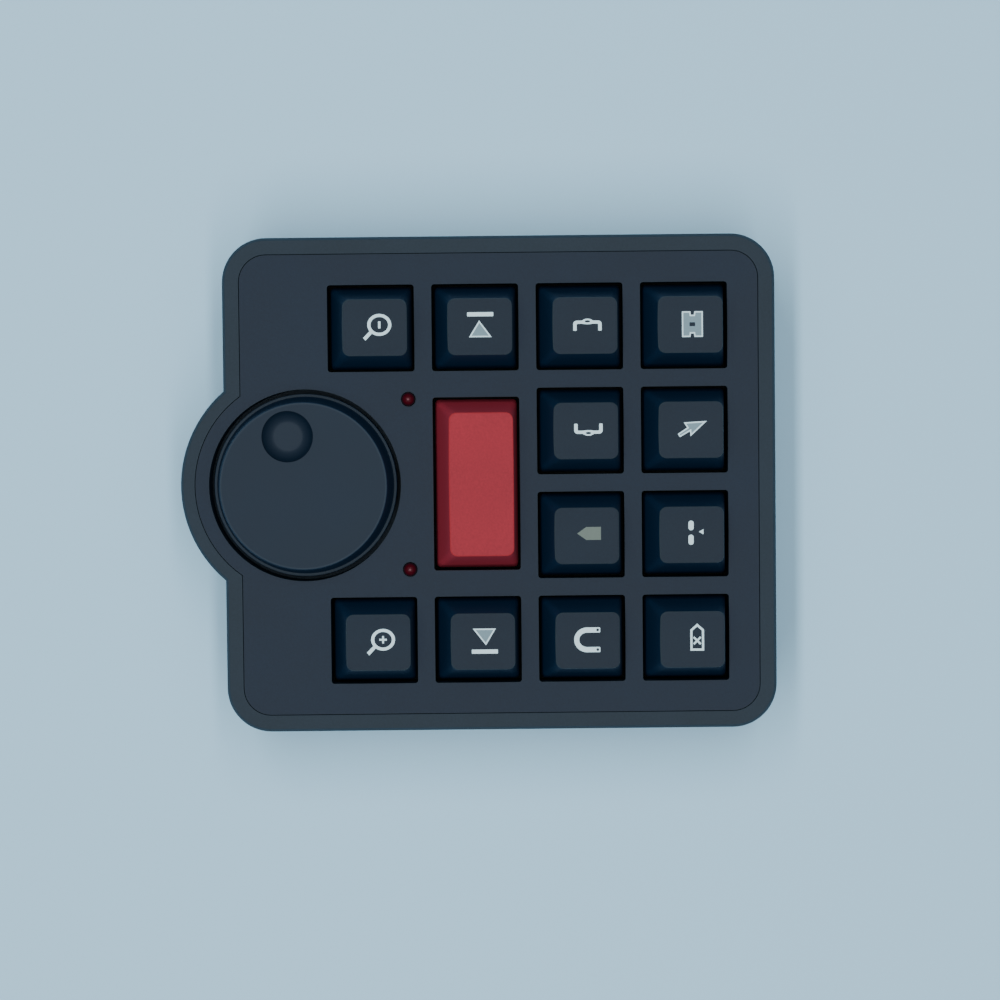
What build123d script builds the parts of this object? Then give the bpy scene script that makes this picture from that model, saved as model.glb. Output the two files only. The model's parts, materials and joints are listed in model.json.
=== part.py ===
from build123d import *
from math import asin, degrees
import os

# Video editing keyboard: thirteen keys on mechanical switches and a jog dial, in a two-part case.
# Lengths are in millimetres. X runs to the right of the person who types, Y runs away from them
# and Z runs up. The origin is under the middle of the outline, on the surface it stands on.

# Key switch: square housing clipped into a plate, with a slider on a spring
switch_body = 13.9
flange_lip = 0.85
flange_height = 1.0
foot_set_back = 0.5
crown_height = 5.6
housing_clear = 0.45
base_floor = 0.8
guide_clear = 0.15
slider_width_share = 0.5036
slider_depth_share = 0.4029
slider_wall = 0.5
slider_shoulder = 1.2
slider_head = 3.0
stop_clear = 0.1
shoulder_clear = 0.05
spring_clear = 0.2
stem_arm = 4.0
stem_blade = 1.2
stem_height = 3.6
stem_clear = 0.05
key_travel = 4.0

# Keycap: hollow and tapered, with a shallow cylindrical dish
keycap_clear = 0.35
keycap_wall = 1.4
keycap_height = 9.0
keycap_roof = 1.5
keycap_crown_wall = 1.2
skirt_clear = 1.1
side_draw_in = 2.93
front_draw_in = 3.24
rear_draw_in = 0.94
corner_cut = 0.7
dish_depth = 0.45
post_recess = 0.7
post_seat = 0.2
post_inset = 0.05

# Layout of the keys and the case round them
key_rows = 4
key_columns = 4
key_gap = 0.475
web = 3.85
side_margin = 10.5
front_margin = 23.07
rear_margin = 10.5
corner_radius = 9.7

# Case shells
foot_proud = 1.5
floor_thickness = 2.0
case_wall = 2.2
roof_thickness = 1.8
panel_rise = 9.9
rim = 3.65
bump_rim = 3.1
groove = 0.5
panel_thickness = 1.0
panel_lip = 0.15
edge_bevel = 0.6
seam_clear = 0.15
seam_gap = 0.2
tongue_wall = 1.0
frame_wall = 1.2
frame_clear = 0.3

# Screws, screw pillars and feet
screw_side_inset = 6.0
screw_end_inset = 7.5
screw_radius = 1.2
screw_head_radius = 2.3
screw_head_height = 1.6
screw_head_sink = 0.9
screw_bite = 6.0
screw_clear = 0.2
thread_clear = 0.02
pillar_radius = 2.6
pillar_clear = 0.4
eight_sides = 8
boss_wall = 1.2
standoff_size = 3.0
foot_length = 18.0
foot_width = 9.0
foot_recess = 0.5
foot_side_inset = 22.0
foot_end_inset = 9.0
foot_clear = 0.05

# Board and switch plate
board_standoff = 3.5
board_thickness = 1.6
board_clear = 0.35
plate_gap = 3.5
plate_thickness = 1.5
plate_clear = 0.6
plate_fit = 0.05
chip_size = 7.0
chip_height = 1.2
chip_from_dial = 30.0

# Cable socket on the rear edge of the board
socket_width = 8.94
socket_height = 3.26
socket_depth = 7.35
socket_shell = 0.3
socket_floor = 1.0
socket_mouth_width = 7.1
socket_tongue_height = 0.7
socket_tongue_width = 6.7
socket_sink = 0.8
socket_clear = 0.25
notch_clear = 1.0

# Jog dial and its rotary encoder
dial_to_keys = 14.87
dial_radius = 20.0
dial_draw_in = 2.0
dial_gap = 1.1
dial_land = 2.65
dial_rise = 5.0
dial_wall = 1.8
dial_skirt_clear = 0.8
hub_radius = 5.2
hub_clear = 1.0
dimple_radius = 5.55
dimple_floor_radius = 3.4
dimple_depth = 1.6
dimple_rim_gap = 0.85
dimple_wall = 1.2
dimple_bearing = 197.0
cup_clear = 1.5
cup_floor = 1.5
cup_wall = 1.6
encoder_width = 12.5
encoder_depth = 13.5
encoder_clear = 1.0
encoder_floor = 1.5
bushing_radius = 3.5
bushing_fit = 0.1
bushing_proud = 1.0
nut_across_flats = 10.0
nut_height = 2.0
nut_sides = 6
nut_fit = 0.03
shaft_radius = 3.0
shaft_fit = 0.05
shaft_flat = 1.5
shaft_end_clear = 0.3

# Indicator lamps
lamp_radius = 1.5
lamp_lip = 0.4
lamp_flange = 1.0
lamp_clear = 0.1
lamp_to_well = 6.1
lamp_before_play = 5.3
lamp_leg = 0.5
lamp_leg_spacing = 2.54
lamp_leg_clear = 0.6

# Stabiliser of the double key
stabiliser_gap = 0.84
stabiliser_width = 6.6
stabiliser_depth = 12.0
stabiliser_top_clear = 0.4
stabiliser_slider_width = 4.4
stabiliser_slider_depth = 5.2
stabiliser_clear = 0.15
wire_radius = 0.7
wire_setback = 0.85
wire_reach = 1.0
wire_play = 0.5
wire_fit = 0.05
hook_width = 2.0
hook_wall = 0.8

# Heights of the stack, from the feet up
bottom_z = foot_proud
floor_z = bottom_z + floor_thickness
board_z = floor_z + board_standoff
board_top_z = board_z + board_thickness
plate_z = board_top_z + plate_gap
plate_top_z = plate_z + plate_thickness
flange_top_z = plate_top_z + flange_height
crown_z = flange_top_z + crown_height
skirt_z = flange_top_z + skirt_clear + key_travel
key_top_z = skirt_z + keycap_height
key_ceiling_z = key_top_z - keycap_roof
panel_top_z = plate_top_z + panel_rise
panel_z = panel_top_z - panel_thickness
roof_z = panel_z - roof_thickness
split_z = board_z
tongue_top_z = board_top_z - seam_gap
frame_z = plate_top_z + frame_clear
cup_z = plate_top_z + cup_clear
cup_floor_z = cup_z + cup_floor

# Plan sizes worked out from the switch outwards
flange_size = switch_body + 2 * flange_lip
foot_size = flange_size - 2 * foot_set_back
keycap_inner = foot_size + 2 * keycap_clear
keycap_base = keycap_inner + 2 * keycap_wall
well = keycap_base + 2 * key_gap
key_pitch = well + web
keytop_width = keycap_base - 2 * side_draw_in
keytop_depth = keycap_base - front_draw_in - rear_draw_in
keytop_shift = (front_draw_in - rear_draw_in) / 2
case_width = key_columns * well + (key_columns - 1) * web + 2 * side_margin
case_depth = key_rows * well + (key_rows - 1) * web + front_margin + rear_margin
dial_to_front = front_margin + well / 2 - dial_to_keys
dial_hole_radius = dial_radius + dial_gap
bump_radius = dial_hole_radius + dial_land + groove + bump_rim
bump_reach = bump_radius - dial_to_front
case_front_y = (bump_reach - case_depth) / 2
case_rear_y = case_front_y + case_depth
case_middle_y = (case_front_y + case_rear_y) / 2
first_row_y = case_front_y + front_margin + well / 2
dial_y = first_row_y - dial_to_keys

# Keys by name, with the row counted from the front and the column from the left
small_keys = {
    "zoom_out": (0, 0),
    "zoom_in": (0, 3),
    "previous": (1, 0),
    "next": (1, 3),
    "mark_in": (2, 0),
    "mark_out": (2, 1),
    "marker": (2, 2),
    "magnet": (2, 3),
    "clip": (3, 0),
    "pointer": (3, 1),
    "split": (3, 2),
    "delete": (3, 3),
}
play_row = 1


def key_point(row, column):
    """Centre of a key, seen from above."""
    return ((column - (key_columns - 1) / 2) * key_pitch, first_row_y + row * key_pitch)


small_points = [key_point(row, column) for row, column in small_keys.values()]
play_point = (0, first_row_y + play_row * key_pitch)
switch_points = small_points + [play_point]
play_y = play_point[1]

screw_x = case_width / 2 - screw_side_inset
screw_points = [
    (side * screw_x, y)
    for side in (-1, 1)
    for y in (case_front_y + screw_end_inset, case_rear_y - screw_end_inset)
]
foot_x = case_width / 2 - foot_side_inset
foot_points = [
    (side * foot_x, y)
    for side in (-1, 1)
    for y in (case_front_y + foot_end_inset, case_rear_y - foot_end_inset)
]
lamp_x = key_pitch * (key_columns - 1) / 2 - well / 2 - lamp_to_well
lamp_y = play_y - well / 2 - lamp_before_play
lamp_points = [(-lamp_x, lamp_y), (lamp_x, lamp_y)]

# Slider and stabiliser sizes
slider_width = slider_width_share * switch_body
slider_depth = slider_depth_share * switch_body
pocket_size = slider_depth - 2 * slider_wall
spring_radius = pocket_size / 2 - spring_clear
shoulder_width = slider_width + 2 * slider_shoulder
base_floor_z = board_top_z + base_floor
slider_foot_z = base_floor_z + key_travel + stop_clear
shoulder_top_z = flange_top_z - shoulder_clear
post_z = skirt_z + post_recess
slider_top_z = post_z - post_seat
spring_top_z = slider_top_z - slider_head
stem_top_z = slider_top_z + stem_height
post_radius = slider_depth / 2 - post_inset
play_length = 2 * well - 2 * key_gap
play_stretch = play_length - keycap_base
stabiliser_x = flange_size / 2 + stabiliser_gap + stabiliser_width / 2
stabiliser_points = [(-stabiliser_x, play_y), (stabiliser_x, play_y)]
stabiliser_top_z = post_z - key_travel - stabiliser_top_clear
notch_z = slider_foot_z + hook_wall
wire_tip_z = notch_z + wire_radius + wire_play
wire_z = wire_tip_z - key_travel / 2
wire_y = play_y - flange_size / 2 - wire_setback
wire_tip_y = play_y - stabiliser_slider_depth / 2 + wire_reach
socket_z = board_top_z + socket_height / 2
socket_front_y = case_rear_y - socket_sink
lamp_top_z = panel_top_z + lamp_radius

# Encoder and dial sizes
bushing_top_z = cup_floor_z + nut_height + bushing_proud
shaft_foot_z = board_top_z + encoder_floor
dial_top_z = panel_top_z + dial_rise
dial_ceiling_z = dial_top_z - dimple_depth - dimple_wall
dial_skirt_z = cup_floor_z + dial_skirt_clear
dial_top_radius = dial_radius - dial_draw_in
hub_z = bushing_top_z + hub_clear
shaft_top_z = dial_ceiling_z - shaft_end_clear


def case_outline(height, inset, bump_inset):
    """The case seen from above: a rounded rectangle with the dial's bump, each drawn in."""
    with BuildSketch(Plane.XY.offset(height)) as outline:
        with Locations((0, case_middle_y)):
            RectangleRounded(case_width - 2 * inset, case_depth - 2 * inset, corner_radius - inset)
        with Locations((0, dial_y)):
            Circle(bump_radius - bump_inset)
    return outline.sketch


def sheet_outline(height, inset):
    """A flat sheet inside the case, with its corners cut away round the screw pillars."""
    width = case_width - 2 * inset
    depth = case_depth - 2 * inset
    notch_width = screw_side_inset + pillar_radius + pillar_clear - inset
    notch_depth = screw_end_inset + pillar_radius + pillar_clear - inset
    with BuildSketch(Plane.XY.offset(height)) as outline:
        with Locations((0, case_middle_y)):
            Rectangle(width, depth)
            with GridLocations(width - notch_width, depth - notch_depth, 2, 2):
                Rectangle(notch_width, notch_depth, mode=Mode.SUBTRACT)
    return outline.sketch


def key_openings(height, grow):
    """All the key wells seen from above, each grown by the same amount on every side."""
    with BuildSketch(Plane.XY.offset(height)) as openings:
        with Locations(*small_points):
            Rectangle(well + 2 * grow, well + 2 * grow)
        with Locations(play_point):
            Rectangle(2 * well + 2 * grow, well + 2 * grow)
    return openings.sketch


def circles(height, points, radius):
    """Equal circles at the given points."""
    with BuildSketch(Plane.XY.offset(height)) as group:
        with Locations(*points):
            Circle(radius)
    return group.sketch


def octagons(height, points, radius):
    """Equal eight-sided outlines at the given points; the radius reaches their flats."""
    with BuildSketch(Plane.XY.offset(height)) as group:
        with Locations(*points):
            RegularPolygon(
                radius, side_count=eight_sides, major_radius=False, rotation=180 / eight_sides
            )
    return group.sketch


def rectangles(height, points, width, depth):
    """Equal rectangles at the given points."""
    with BuildSketch(Plane.XY.offset(height)) as group:
        with Locations(*points):
            Rectangle(width, depth)
    return group.sketch


def front_view(x, y):
    """Plane of a front view through a point: right is X and up is Z."""
    return Plane(origin=(x, y, 0), x_dir=(1, 0, 0), z_dir=(0, -1, 0))


def side_view(x, y):
    """Plane of a side view through a point: right is Y and up is Z."""
    return Plane(origin=(x, y, 0), x_dir=(0, 1, 0), z_dir=(1, 0, 0))


os.makedirs("parts", exist_ok=True)


def save(piece, name):
    """Name a finished piece and write it to its own file."""
    piece.label = name
    export_step(piece, f"parts/{name}.step")


# Bottom cover: a shallow tray with a tongue that locates the top cover
tongue_inset = case_wall + seam_clear
tray_inset = tongue_inset + tongue_wall
head_z = bottom_z + screw_head_sink
head_seat_z = head_z + screw_head_height
boss_radius = screw_head_radius + screw_clear + boss_wall
board_inset = tray_inset + board_clear
standoff_points = [(0, play_y), (0, case_rear_y - screw_end_inset), (0, dial_y - encoder_depth)]
with BuildPart() as bottom_cover:
    extrude(case_outline(bottom_z, 0, 0), amount=split_z - bottom_z)
    extrude(case_outline(split_z, tongue_inset, tongue_inset), amount=tongue_top_z - split_z)
    extrude(
        case_outline(floor_z, tray_inset, tray_inset), amount=tongue_top_z - floor_z, mode=Mode.SUBTRACT
    )
    extrude(
        octagons(split_z, screw_points, pillar_radius + pillar_clear),
        amount=tongue_top_z - split_z,
        mode=Mode.SUBTRACT,
    )
    extrude(octagons(floor_z, screw_points, boss_radius), amount=split_z - floor_z)
    extrude(
        octagons(bottom_z, screw_points, screw_head_radius + screw_clear),
        amount=head_seat_z - bottom_z,
        mode=Mode.SUBTRACT,
    )
    extrude(
        octagons(head_seat_z, screw_points, screw_radius + screw_clear),
        amount=split_z - head_seat_z,
        mode=Mode.SUBTRACT,
    )
    foot_fit = 2 * foot_clear
    extrude(
        rectangles(bottom_z, foot_points, foot_length + foot_fit, foot_width + foot_fit),
        amount=foot_recess,
        mode=Mode.SUBTRACT,
    )
    extrude(
        rectangles(floor_z, standoff_points, standoff_size, standoff_size),
        amount=board_z - floor_z,
    )
save(bottom_cover.part, "bottom_cover")

with BuildPart() as rubber_feet:
    extrude(
        rectangles(0, foot_points, foot_length, foot_width), amount=foot_proud + foot_recess
    )
save(rubber_feet.part, "rubber_feet")

with BuildPart() as case_screws:
    extrude(octagons(head_z, screw_points, screw_head_radius), amount=screw_head_height)
    extrude(octagons(head_z, screw_points, screw_radius), amount=split_z + screw_bite - head_z)
save(case_screws.part, "case_screws")

# Main board, on the standoffs of the bottom cover
with BuildPart() as main_board:
    extrude(sheet_outline(board_z, board_inset), amount=board_thickness)
save(main_board.part, "main_board")

with BuildPart() as control_chip:
    extrude(
        rectangles(board_top_z, [(-chip_from_dial, dial_y)], chip_size, chip_size),
        amount=chip_height,
    )
save(control_chip.part, "control_chip")

# Cable socket: a metal shell with a tongue inside, set back from the rear wall
socket_plane = Plane(origin=(0, socket_front_y, socket_z), x_dir=(1, 0, 0), z_dir=(0, -1, 0))
with BuildPart() as usb_socket:
    with BuildSketch(socket_plane):
        SlotOverall(socket_width, socket_height)
    extrude(amount=socket_depth)
    with BuildSketch(socket_plane):
        Rectangle(socket_mouth_width, socket_height - 2 * socket_shell)
    extrude(amount=socket_depth - socket_floor, mode=Mode.SUBTRACT)
    with BuildSketch(socket_plane.offset(socket_floor)):
        Rectangle(socket_tongue_width, socket_tongue_height)
    extrude(amount=socket_depth - 2 * socket_floor)
save(usb_socket.part, "usb_socket")

# Switch plate: every switch clips into it
plate_hole = switch_body + 2 * plate_fit
wire_slot_front = wire_y - wire_radius - wire_play
housing_front_y = play_y - stabiliser_depth / 2
notch_depth = socket_depth + socket_sink + notch_clear
with BuildPart() as switch_plate:
    extrude(sheet_outline(plate_z, case_wall + plate_clear), amount=plate_thickness)
    with BuildSketch(Plane.XY.offset(plate_z)):
        with Locations(*switch_points):
            Rectangle(plate_hole, plate_hole)
        with Locations(*stabiliser_points):
            Rectangle(
                stabiliser_width + 2 * stabiliser_clear,
                stabiliser_depth + 2 * stabiliser_clear,
            )
        with Locations((0, (wire_slot_front + housing_front_y) / 2)):
            Rectangle(2 * stabiliser_x + stabiliser_width, housing_front_y - wire_slot_front)
        with Locations((0, dial_y)):
            Rectangle(encoder_width + 2 * encoder_clear, encoder_depth + 2 * encoder_clear)
        with Locations(*lamp_points):
            Rectangle(
                lamp_leg_spacing + lamp_leg + 2 * lamp_leg_clear,
                lamp_leg + 2 * lamp_leg_clear,
            )
        with Locations((0, case_rear_y - notch_depth / 2)):
            Rectangle(socket_width + 2 * notch_clear, notch_depth)
    extrude(amount=plate_thickness, mode=Mode.SUBTRACT)
save(switch_plate.part, "switch_plate")

# Switch housings: the base stands on the board, and the upper housing closes it
with BuildPart() as switch_bases:
    extrude(
        rectangles(board_top_z, switch_points, switch_body, switch_body),
        amount=plate_top_z - board_top_z,
    )
    extrude(
        rectangles(plate_top_z, switch_points, flange_size, flange_size), amount=flange_height
    )
    extrude(
        rectangles(
            base_floor_z,
            switch_points,
            shoulder_width + 2 * guide_clear,
            slider_depth + 2 * guide_clear,
        ),
        amount=flange_top_z - base_floor_z,
        mode=Mode.SUBTRACT,
    )
save(switch_bases.part, "switch_bases")


def tapered_block(x, y, low, high, low_size, high_size, shift):
    """A block with flat sloping sides; the top is moved along Y by the shift."""
    (low_width, low_depth), (high_width, high_depth) = low_size, high_size
    with BuildPart() as block:
        with BuildSketch(front_view(x, y)):
            with BuildLine():
                Polyline(
                    (-low_width / 2, low),
                    (low_width / 2, low),
                    (high_width / 2, high),
                    (-high_width / 2, high),
                    close=True,
                )
            make_face()
        extrude(amount=low_depth, both=True)
        with BuildSketch(side_view(x, y)):
            with BuildLine():
                Polyline(
                    (-low_depth / 2, low),
                    (low_depth / 2, low),
                    (shift + high_depth / 2, high),
                    (shift - high_depth / 2, high),
                    close=True,
                )
            make_face()
        extrude(amount=low_width, both=True, mode=Mode.INTERSECT)
    return block.part


# The crown of the upper housing stays clear of the inside of a pressed keycap
crown_share = (crown_height - skirt_clear) / (key_ceiling_z - skirt_z)
ceiling_width = keytop_width - 2 * keycap_crown_wall
ceiling_depth = keytop_depth - 2 * keycap_crown_wall
skirt_half = keycap_inner / 2
crown_width = 2 * (
    skirt_half + (ceiling_width / 2 - skirt_half) * crown_share - housing_clear
)
crown_depth = 2 * (
    skirt_half + (ceiling_depth / 2 - keytop_shift - skirt_half) * crown_share - housing_clear
)
with BuildPart() as switch_tops:
    for x, y in switch_points:
        foot_plan = (foot_size, foot_size)
        crown_plan = (crown_width, crown_depth)
        add(tapered_block(x, y, flange_top_z, crown_z, foot_plan, crown_plan, 0))
    extrude(
        rectangles(
            flange_top_z,
            switch_points,
            slider_width + 2 * guide_clear,
            slider_depth + 2 * guide_clear,
        ),
        amount=crown_height,
        mode=Mode.SUBTRACT,
    )
save(switch_tops.part, "switch_tops")


def make_slider(name, x, y):
    """The plunger of one switch: shoulders, a block with the spring's pocket and a cross stem."""
    place = Plane(origin=(x, y, 0))
    with BuildPart() as slider:
        with BuildSketch(place.offset(slider_foot_z)):
            Rectangle(shoulder_width, slider_depth)
        extrude(amount=shoulder_top_z - slider_foot_z)
        with BuildSketch(place.offset(slider_foot_z)):
            Rectangle(slider_width, slider_depth)
        extrude(amount=slider_top_z - slider_foot_z)
        with BuildSketch(place.offset(slider_foot_z)):
            Rectangle(pocket_size, pocket_size)
        extrude(amount=spring_top_z - slider_foot_z, mode=Mode.SUBTRACT)
        with BuildSketch(place.offset(slider_top_z)):
            Rectangle(stem_arm, stem_blade)
            Rectangle(stem_blade, stem_arm)
        extrude(amount=stem_height)
    save(slider.part, f"slider_{name}")


def make_spring(name, x, y):
    """The return spring of one switch, as the eight-sided bar that its coil fills."""
    with BuildPart() as spring:
        extrude(
            octagons(base_floor_z, [(x, y)], spring_radius), amount=spring_top_z - base_floor_z
        )
    save(spring.part, f"spring_{name}")


def make_keycap(name, x, y, stretch, post_points):
    """A hollow keycap, stretched along X for the double key, with a cross socket in each post."""
    half_base = (keycap_base + stretch) / 2
    half_top = (keytop_width + stretch) / 2
    base_plan = (keycap_base + stretch, keycap_base)
    top_plan = (keytop_width + stretch, keytop_depth)
    inner_plan = (keycap_inner + stretch, keycap_inner)
    ceiling_plan = (ceiling_width + stretch, ceiling_depth)
    cavity = tapered_block(
        x, y, skirt_z, key_ceiling_z, inner_plan, ceiling_plan, keytop_shift
    )
    with BuildPart() as keycap:
        add(tapered_block(x, y, skirt_z, key_top_z, base_plan, top_plan, keytop_shift))
        side_edges = [
            edge for edge in keycap.edges() if edge.bounding_box().size.Z > keycap_height / 2
        ]
        chamfer(side_edges, length=corner_cut)
        with BuildSketch(front_view(x, y)):
            with BuildLine():
                Line((-half_top, key_top_z), (half_top, key_top_z))
                ThreePointArc(
                    (half_top, key_top_z), (0, key_top_z - dish_depth), (-half_top, key_top_z)
                )
            make_face()
        extrude(amount=half_base, both=True, mode=Mode.SUBTRACT)
        add(cavity, mode=Mode.SUBTRACT)
        extrude(octagons(post_z, post_points, post_radius), amount=key_ceiling_z - post_z)
        with BuildSketch(Plane.XY.offset(post_z)):
            with Locations(*post_points):
                Rectangle(stem_arm + 2 * stem_clear, stem_blade + 2 * stem_clear)
                Rectangle(stem_blade + 2 * stem_clear, stem_arm + 2 * stem_clear)
        extrude(amount=stem_top_z + post_seat - post_z, mode=Mode.SUBTRACT)
    save(keycap.part, f"keycap_{name}")


for key_name, (row, column) in small_keys.items():
    key_x, key_y = key_point(row, column)
    make_keycap(key_name, key_x, key_y, 0, [(key_x, key_y)])
    make_slider(key_name, key_x, key_y)
    make_spring(key_name, key_x, key_y)

make_keycap("play", 0, play_y, play_stretch, [play_point] + stabiliser_points)
make_slider("play", 0, play_y)
make_spring("play", 0, play_y)

# Stabiliser of the double key: the wire makes both ends of the key go down together
hook_front_y = wire_y - wire_radius
hook_x = stabiliser_x - stabiliser_width / 2 + hook_width / 2
hook_y = (hook_front_y + housing_front_y) / 2
wire_slot = 2 * (wire_radius + wire_fit)
arm_slot = 2 * (wire_radius + wire_play)
with BuildPart() as stabiliser_housings:
    extrude(
        rectangles(board_top_z, stabiliser_points, stabiliser_width, stabiliser_depth),
        amount=stabiliser_top_z - board_top_z,
    )
    extrude(
        rectangles(
            wire_z - wire_slot / 2 - hook_wall,
            [(-hook_x, hook_y), (hook_x, hook_y)],
            hook_width,
            housing_front_y - hook_front_y,
        ),
        amount=wire_slot + 2 * hook_wall,
    )
    extrude(
        rectangles(wire_z - wire_slot / 2, [(0, wire_y)], 2 * stabiliser_x, wire_slot),
        amount=wire_slot,
        mode=Mode.SUBTRACT,
    )
    extrude(
        rectangles(
            base_floor_z,
            stabiliser_points,
            stabiliser_slider_width + 2 * stabiliser_clear,
            stabiliser_slider_depth + 2 * stabiliser_clear,
        ),
        amount=stabiliser_top_z - base_floor_z,
        mode=Mode.SUBTRACT,
    )
    slot_points = [(x, (housing_front_y + y) / 2) for x, y in stabiliser_points]
    extrude(
        rectangles(base_floor_z, slot_points, arm_slot, stabiliser_depth / 2),
        amount=stabiliser_top_z - base_floor_z,
        mode=Mode.SUBTRACT,
    )
save(stabiliser_housings.part, "stabiliser_housings")

notch_reach = wire_reach + wire_play
slider_front_y = play_y - stabiliser_slider_depth / 2
with BuildPart() as stabiliser_sliders:
    extrude(
        rectangles(
            slider_foot_z, stabiliser_points, stabiliser_slider_width, stabiliser_slider_depth
        ),
        amount=slider_top_z - slider_foot_z,
    )
    with BuildSketch(Plane.XY.offset(slider_top_z)):
        with Locations(*stabiliser_points):
            Rectangle(stem_arm, stem_blade)
            Rectangle(stem_blade, stem_arm)
    extrude(amount=stem_height)
    notch_points = [(x, slider_front_y + notch_reach / 2) for x, y in stabiliser_points]
    extrude(
        rectangles(notch_z, notch_points, arm_slot, notch_reach),
        amount=arm_slot,
        mode=Mode.SUBTRACT,
    )
save(stabiliser_sliders.part, "stabiliser_sliders")

# The wire: a round bar that turns in the hooks, and two arms that rise to the sliders
bar_plane = Plane(origin=(0, wire_y, wire_z), x_dir=(0, 1, 0), z_dir=(1, 0, 0))
with BuildPart() as stabiliser_wire:
    with BuildSketch(bar_plane):
        Circle(wire_radius)
    extrude(amount=stabiliser_x, both=True)
    for x, y in stabiliser_points:
        with BuildLine() as arm:
            Line((x, wire_y, wire_z), (x, wire_tip_y, wire_tip_z))
        with BuildSketch(arm.line ^ 0):
            RegularPolygon(
                wire_radius,
                side_count=eight_sides,
                major_radius=False,
                rotation=180 / eight_sides,
            )
        sweep(path=arm.line)
save(stabiliser_wire.part, "stabiliser_wire")

# Top cover: skirt, roof, frames round the keys, the dial's cup and the screw pillars
with BuildPart() as top_cover:
    extrude(case_outline(split_z, 0, 0), amount=panel_top_z - split_z)
    chamfer(top_cover.faces().sort_by(Axis.Z)[-1].edges(), length=edge_bevel)
    extrude(case_outline(split_z, case_wall, case_wall), amount=roof_z - split_z, mode=Mode.SUBTRACT)
    extrude(case_outline(panel_z, rim, bump_rim), amount=panel_thickness, mode=Mode.SUBTRACT)
    extrude(key_openings(frame_z, panel_lip + frame_wall), amount=roof_z - frame_z)
    extrude(octagons(cup_z, [(0, dial_y)], dial_hole_radius + cup_wall), amount=roof_z - cup_z)
    extrude(octagons(split_z, screw_points, pillar_radius), amount=roof_z - split_z)
    extrude(key_openings(frame_z, panel_lip), amount=panel_z - frame_z, mode=Mode.SUBTRACT)
    extrude(
        circles(cup_floor_z, [(0, dial_y)], dial_hole_radius),
        amount=panel_z - cup_floor_z,
        mode=Mode.SUBTRACT,
    )
    extrude(
        octagons(cup_z, [(0, dial_y)], bushing_radius + bushing_fit),
        amount=cup_floor,
        mode=Mode.SUBTRACT,
    )
    lamp_hole = 2 * (lamp_radius + lamp_clear)
    extrude(
        rectangles(roof_z, lamp_points, lamp_hole, lamp_hole),
        amount=roof_thickness,
        mode=Mode.SUBTRACT,
    )
    extrude(
        octagons(split_z, screw_points, screw_radius + thread_clear),
        amount=screw_bite + screw_clear,
        mode=Mode.SUBTRACT,
    )
    rear_plane = Plane(origin=(0, case_rear_y, socket_z), x_dir=(1, 0, 0), z_dir=(0, -1, 0))
    with BuildSketch(rear_plane):
        SlotOverall(socket_width + 2 * socket_clear, socket_height + 2 * socket_clear)
    extrude(amount=case_wall, mode=Mode.SUBTRACT)
save(top_cover.part, "top_cover")

# Face panel: a thin plate that lies in the cover's recess, a groove's width inside the rim
with BuildPart() as face_panel:
    extrude(case_outline(panel_z, rim + groove, bump_rim + groove), amount=panel_thickness)
    extrude(key_openings(panel_z, 0), amount=panel_thickness, mode=Mode.SUBTRACT)
    extrude(
        circles(panel_z, [(0, dial_y)], dial_hole_radius),
        amount=panel_thickness,
        mode=Mode.SUBTRACT,
    )
    extrude(
        circles(panel_z, lamp_points, lamp_radius + lamp_clear),
        amount=panel_thickness,
        mode=Mode.SUBTRACT,
    )
save(face_panel.part, "face_panel")

# Indicator lamps: a flange under the roof, a body whose end stands out, and two legs
flange_z = roof_z - lamp_flange
flange_width = 2 * (lamp_radius + lamp_lip)
with BuildPart() as status_lamps:
    extrude(circles(flange_z, lamp_points, lamp_radius), amount=lamp_top_z - flange_z)
    extrude(rectangles(flange_z, lamp_points, flange_width, flange_width), amount=lamp_flange)
    leg_points = [
        (x + side * lamp_leg_spacing / 2, y) for x, y in lamp_points for side in (-1, 1)
    ]
    extrude(rectangles(board_top_z, leg_points, lamp_leg, lamp_leg), amount=flange_z - board_top_z)
save(status_lamps.part, "status_lamps")

# Rotary encoder: fixed body and bushing, with the shaft running in the bushing
with BuildPart() as encoder_body:
    extrude(
        rectangles(board_top_z, [(0, dial_y)], encoder_width, encoder_depth),
        amount=cup_z - board_top_z,
    )
    extrude(octagons(cup_z, [(0, dial_y)], bushing_radius), amount=bushing_top_z - cup_z)
    extrude(
        circles(shaft_foot_z, [(0, dial_y)], shaft_radius + shaft_fit),
        amount=bushing_top_z - shaft_foot_z,
        mode=Mode.SUBTRACT,
    )
save(encoder_body.part, "encoder_body")

with BuildPart() as encoder_nut:
    with BuildSketch(Plane(origin=(0, dial_y, cup_floor_z))):
        RegularPolygon(nut_across_flats / 2, side_count=nut_sides, major_radius=False)
    extrude(amount=nut_height)
    extrude(
        octagons(cup_floor_z, [(0, dial_y)], bushing_radius + nut_fit),
        amount=nut_height,
        mode=Mode.SUBTRACT,
    )
save(encoder_nut.part, "encoder_nut")


def shaft_profile(height, radius, flat):
    """A circle with one flat side, as on the end of the shaft."""
    with BuildSketch(Plane(origin=(0, dial_y, height))) as profile:
        Circle(radius)
        with Locations((radius + flat, 0)):
            Rectangle(2 * radius, 2 * radius, mode=Mode.SUBTRACT)
    return profile.sketch


with BuildPart() as encoder_shaft:
    extrude(
        circles(shaft_foot_z + stop_clear, [(0, dial_y)], shaft_radius),
        amount=bushing_top_z - shaft_foot_z,
    )
    extrude(
        shaft_profile(bushing_top_z, shaft_radius, shaft_flat),
        amount=shaft_top_z - bushing_top_z,
    )
save(encoder_shaft.part, "encoder_shaft")

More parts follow.
